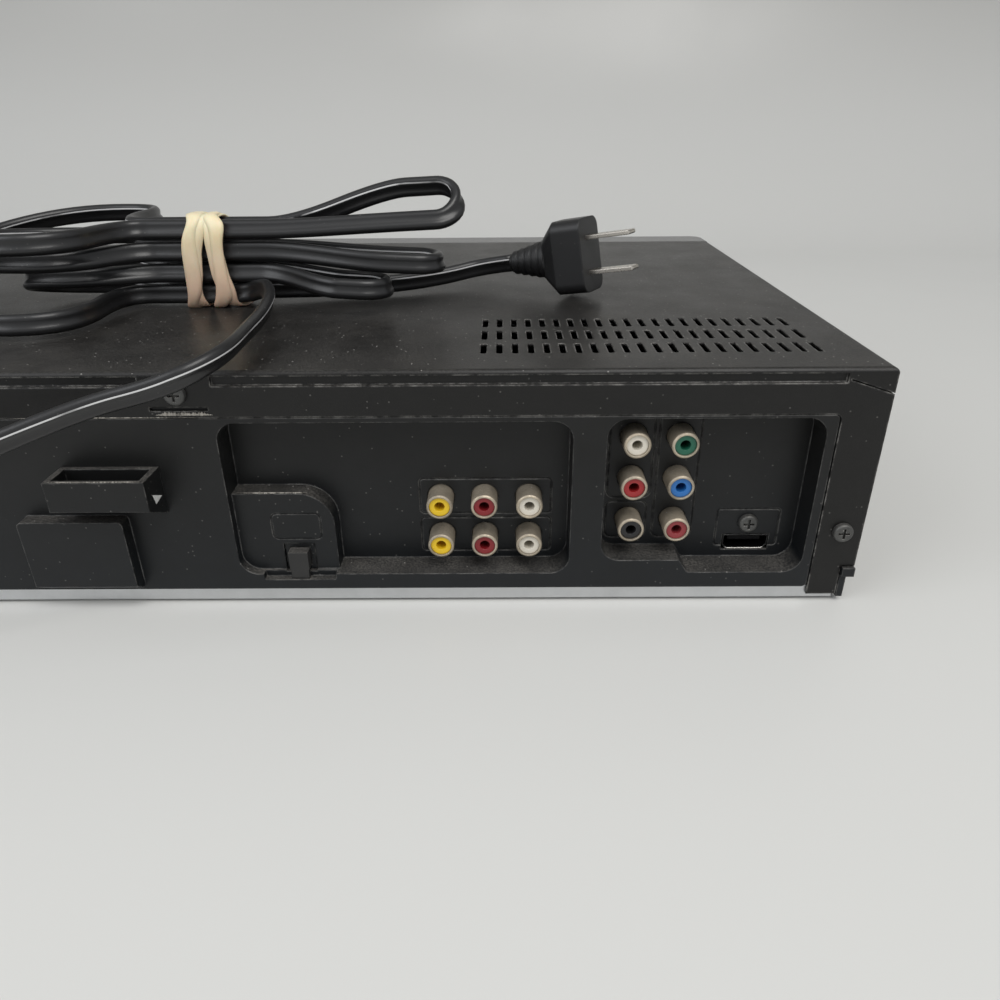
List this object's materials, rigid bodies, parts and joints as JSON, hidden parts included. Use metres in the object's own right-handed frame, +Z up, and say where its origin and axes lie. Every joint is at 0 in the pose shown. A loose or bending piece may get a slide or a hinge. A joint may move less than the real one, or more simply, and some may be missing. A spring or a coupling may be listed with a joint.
{
  "type": "disc and video cassette combination player",
  "caption": "Low black disc and video cassette player seen from the rear, with socket recesses, vented cover, drawer, cassette deck and a banded mains cord.",
  "frame": {"origin": "centre of the case and cord hook in plan, on the table plane under the feet", "axes": "+X towards the cassette deck side, +Y towards the rear panel, +Z up"},
  "size_m": [0.4338, 0.2987, 0.1238],
  "materials": {
    "cover_paint": "satin textured black paint",
    "screw_black": "black zinc",
    "zinc_sheet": "zinc plated sheet",
    "panel_plastic": "fine moulded grain",
    "frame_plastic": "moulded",
    "cap_plastic": "dusty moulded",
    "front_plastic": "gloss black",
    "window_plastic": "smoked window",
    "button_plastic": "satin grey",
    "nickel": "dull nickel",
    "insert_plastic": "moulded in several colours",
    "gear_plastic": "natural acetal",
    "motor_steel": "drawn can",
    "belt_rubber": "matt",
    "foot_rubber": "matt",
    "board_laminate": "lacquered laminate",
    "part_sleeve": "sleeved parts",
    "drum_aluminium": "polished",
    "shaft_steel": "ground",
    "cord_vinyl": "satin vinyl",
    "band_rubber": "aged cream rubber"
  },
  "bodies": {
    "chassis": {"bottom_plate": "zinc_sheet", "case_screws": "screw_black", "chassis_frame": "frame_plastic", "clamp_bridge": "zinc_sheet", "cord_hank": "cord_vinyl", "cord_hook": "panel_plastic", "cord_lead": "cord_vinyl", "cord_tail": "cord_vinyl", "deck_fittings": "motor_steel", "deck_plate": "zinc_sheet", "digital_board": "board_laminate", "display_window": "window_plastic", "drum_lower": "drum_aluminium", "feet": "foot_rubber", "front_bezel": "front_plastic", "hdmi_socket": "nickel", "jack_housings": "panel_plastic", "key_board": "board_laminate", "loader_frame": "frame_plastic", "main_board": "board_laminate", "optical_socket": "panel_plastic", "plug_blades": "nickel", "plug_body": "cord_vinyl", "power_board": "board_laminate", "power_parts": "part_sleeve", "rca_inserts": "insert_plastic", "rca_shells": "nickel", "rear_panel": "panel_plastic", "rf_module": "zinc_sheet", "rubber_band": "band_rubber", "strain_relief": "panel_plastic", "top_cover": "cover_paint", "tray_belt": "belt_rubber", "tray_motor": "motor_steel"},
    "tray": {"disc_tray": "frame_plastic"},
    "tray_gear": {"tray_gear": "gear_plastic"},
    "traverse": {"traverse_frame": "frame_plastic"},
    "turntable": {"turntable": "gear_plastic"},
    "pickup": {"pickup_sled": "frame_plastic"},
    "puck": {"clamp_puck": "gear_plastic"},
    "flap": {"cassette_flap": "front_plastic"},
    "slider": {"carriage_slider": "zinc_sheet"},
    "holder": {"cassette_holder": "zinc_sheet"},
    "cam": {"cam_gear": "gear_plastic"},
    "drum": {"drum_upper": "drum_aluminium"},
    "capstan": {"capstan": "shaft_steel"},
    "pinch_arm": {"pinch_arm": "shaft_steel"},
    "pinch_roller": {"pinch_roller": "belt_rubber"},
    "reel_supply": {"reel_supply": "gear_plastic"},
    "reel_takeup": {"reel_takeup": "gear_plastic"},
    "post_left": {"guide_post_left": "drum_aluminium"},
    "post_right": {"guide_post_right": "drum_aluminium"},
    "optical_cap": {"optical_cap": "cap_plastic"},
    "button_power": {"button_power": "button_plastic"},
    "button_disc_eject": {"button_disc_eject": "button_plastic"},
    "button_tape_eject": {"button_tape_eject": "button_plastic"},
    "button_rewind": {"button_rewind": "button_plastic"},
    "button_stop": {"button_stop": "button_plastic"},
    "button_play": {"button_play": "button_plastic"},
    "button_forward": {"button_forward": "button_plastic"}
  },
  "joints": [
    {"name": "tray_slide", "type": "slide", "parent": "chassis", "child": "tray", "axis": [0, -1, 0], "range_m": [0, 0.13]},
    {"name": "tray_gear_turn", "type": "hinge", "parent": "chassis", "child": "tray_gear", "pos_m": [-0.0853, -0.099, 0.0392], "axis": [0, 0, 1], "range_deg": [-830, 0]},
    {"name": "traverse_lift", "type": "slide", "parent": "chassis", "child": "traverse", "axis": [0, 0, 1], "range_m": [0, 0.0062]},
    {"name": "turntable_spin", "type": "hinge", "parent": "traverse", "child": "turntable", "pos_m": [-0.128, -0.0655, 0.0352], "axis": [0, 0, 1], "continuous": true},
    {"name": "pickup_slide", "type": "slide", "parent": "traverse", "child": "pickup", "axis": [0, 1, 0], "range_m": [0, 0.036]},
    {"name": "puck_spin", "type": "hinge", "parent": "chassis", "child": "puck", "pos_m": [-0.128, -0.0655, 0.0508], "axis": [0, 0, 1], "continuous": true},
    {"name": "flap_swing", "type": "hinge", "parent": "chassis", "child": "flap", "pos_m": [0.06, -0.1298, 0.07], "axis": [1, 0, 0], "range_deg": [0, 80], "stiffness_Nm_per_rad": 0.004},
    {"name": "carriage_in", "type": "slide", "parent": "chassis", "child": "slider", "axis": [0, 1, 0], "range_m": [0, 0.052]},
    {"name": "carriage_drop", "type": "slide", "parent": "slider", "child": "holder", "axis": [0, 0, -1], "range_m": [0, 0.018]},
    {"name": "cam_turn", "type": "hinge", "parent": "chassis", "child": "cam", "pos_m": [-0.018, 0.044, 0.0212], "axis": [0, 0, 1], "range_deg": [0, 180]},
    {"name": "drum_spin", "type": "hinge", "parent": "chassis", "child": "drum", "pos_m": [0.06, 0.063, 0.0252], "axis": [0, 0, 1], "continuous": true},
    {"name": "capstan_spin", "type": "hinge", "parent": "chassis", "child": "capstan", "pos_m": [0.12, 0.04, 0.0212], "axis": [0, 0, 1], "continuous": true},
    {"name": "pinch_swing", "type": "hinge", "parent": "chassis", "child": "pinch_arm", "pos_m": [0.14, 0.046, 0.0312], "axis": [0, 0, 1], "range_deg": [-20, 0]},
    {"name": "roller_spin", "type": "hinge", "parent": "pinch_arm", "child": "pinch_roller", "pos_m": [0.12901, 0.02825, 0.0312], "axis": [0, 0, 1], "continuous": true},
    {"name": "reel_supply_spin", "type": "hinge", "parent": "chassis", "child": "reel_supply", "pos_m": [0.014, -0.027, 0.0212], "axis": [0, 0, 1], "continuous": true},
    {"name": "reel_takeup_spin", "type": "hinge", "parent": "chassis", "child": "reel_takeup", "pos_m": [0.106, -0.027, 0.0212], "axis": [0, 0, 1], "continuous": true},
    {"name": "post_left_slide", "type": "slide", "parent": "chassis", "child": "post_left", "axis": [-0.3808, 0.9247, 0], "range_m": [0, 0.03667]},
    {"name": "post_right_slide", "type": "slide", "parent": "chassis", "child": "post_right", "axis": [0.3808, 0.9247, 0], "range_m": [0, 0.03667]},
    {"name": "optical_cap_pull", "type": "slide", "parent": "chassis", "child": "optical_cap", "axis": [0, 1, 0], "range_m": [0, 0.008]},
    {"name": "power_press", "type": "slide", "parent": "chassis", "child": "button_power", "axis": [0, 1, 0], "range_m": [0, 0.0008], "stiffness_N_per_m": 300},
    {"name": "disc_eject_press", "type": "slide", "parent": "chassis", "child": "button_disc_eject", "axis": [0, 1, 0], "range_m": [0, 0.0008], "stiffness_N_per_m": 300},
    {"name": "tape_eject_press", "type": "slide", "parent": "chassis", "child": "button_tape_eject", "axis": [0, 1, 0], "range_m": [0, 0.0008], "stiffness_N_per_m": 300},
    {"name": "rewind_press", "type": "slide", "parent": "chassis", "child": "button_rewind", "axis": [0, 1, 0], "range_m": [0, 0.0008], "stiffness_N_per_m": 300},
    {"name": "stop_press", "type": "slide", "parent": "chassis", "child": "button_stop", "axis": [0, 1, 0], "range_m": [0, 0.0008], "stiffness_N_per_m": 300},
    {"name": "play_press", "type": "slide", "parent": "chassis", "child": "button_play", "axis": [0, 1, 0], "range_m": [0, 0.0008], "stiffness_N_per_m": 300},
    {"name": "forward_press", "type": "slide", "parent": "chassis", "child": "button_forward", "axis": [0, 1, 0], "range_m": [0, 0.0008], "stiffness_N_per_m": 300}
  ],
  "couplings": [
    {"joint": "tray_gear_turn", "follows": "tray_slide", "rad_per_m": -111.11},
    {"joint": "cam_turn", "follows": "carriage_in", "rad_per_m": 60},
    {"joint": "post_right_slide", "follows": "post_left_slide", "ratio": 1}
  ]
}
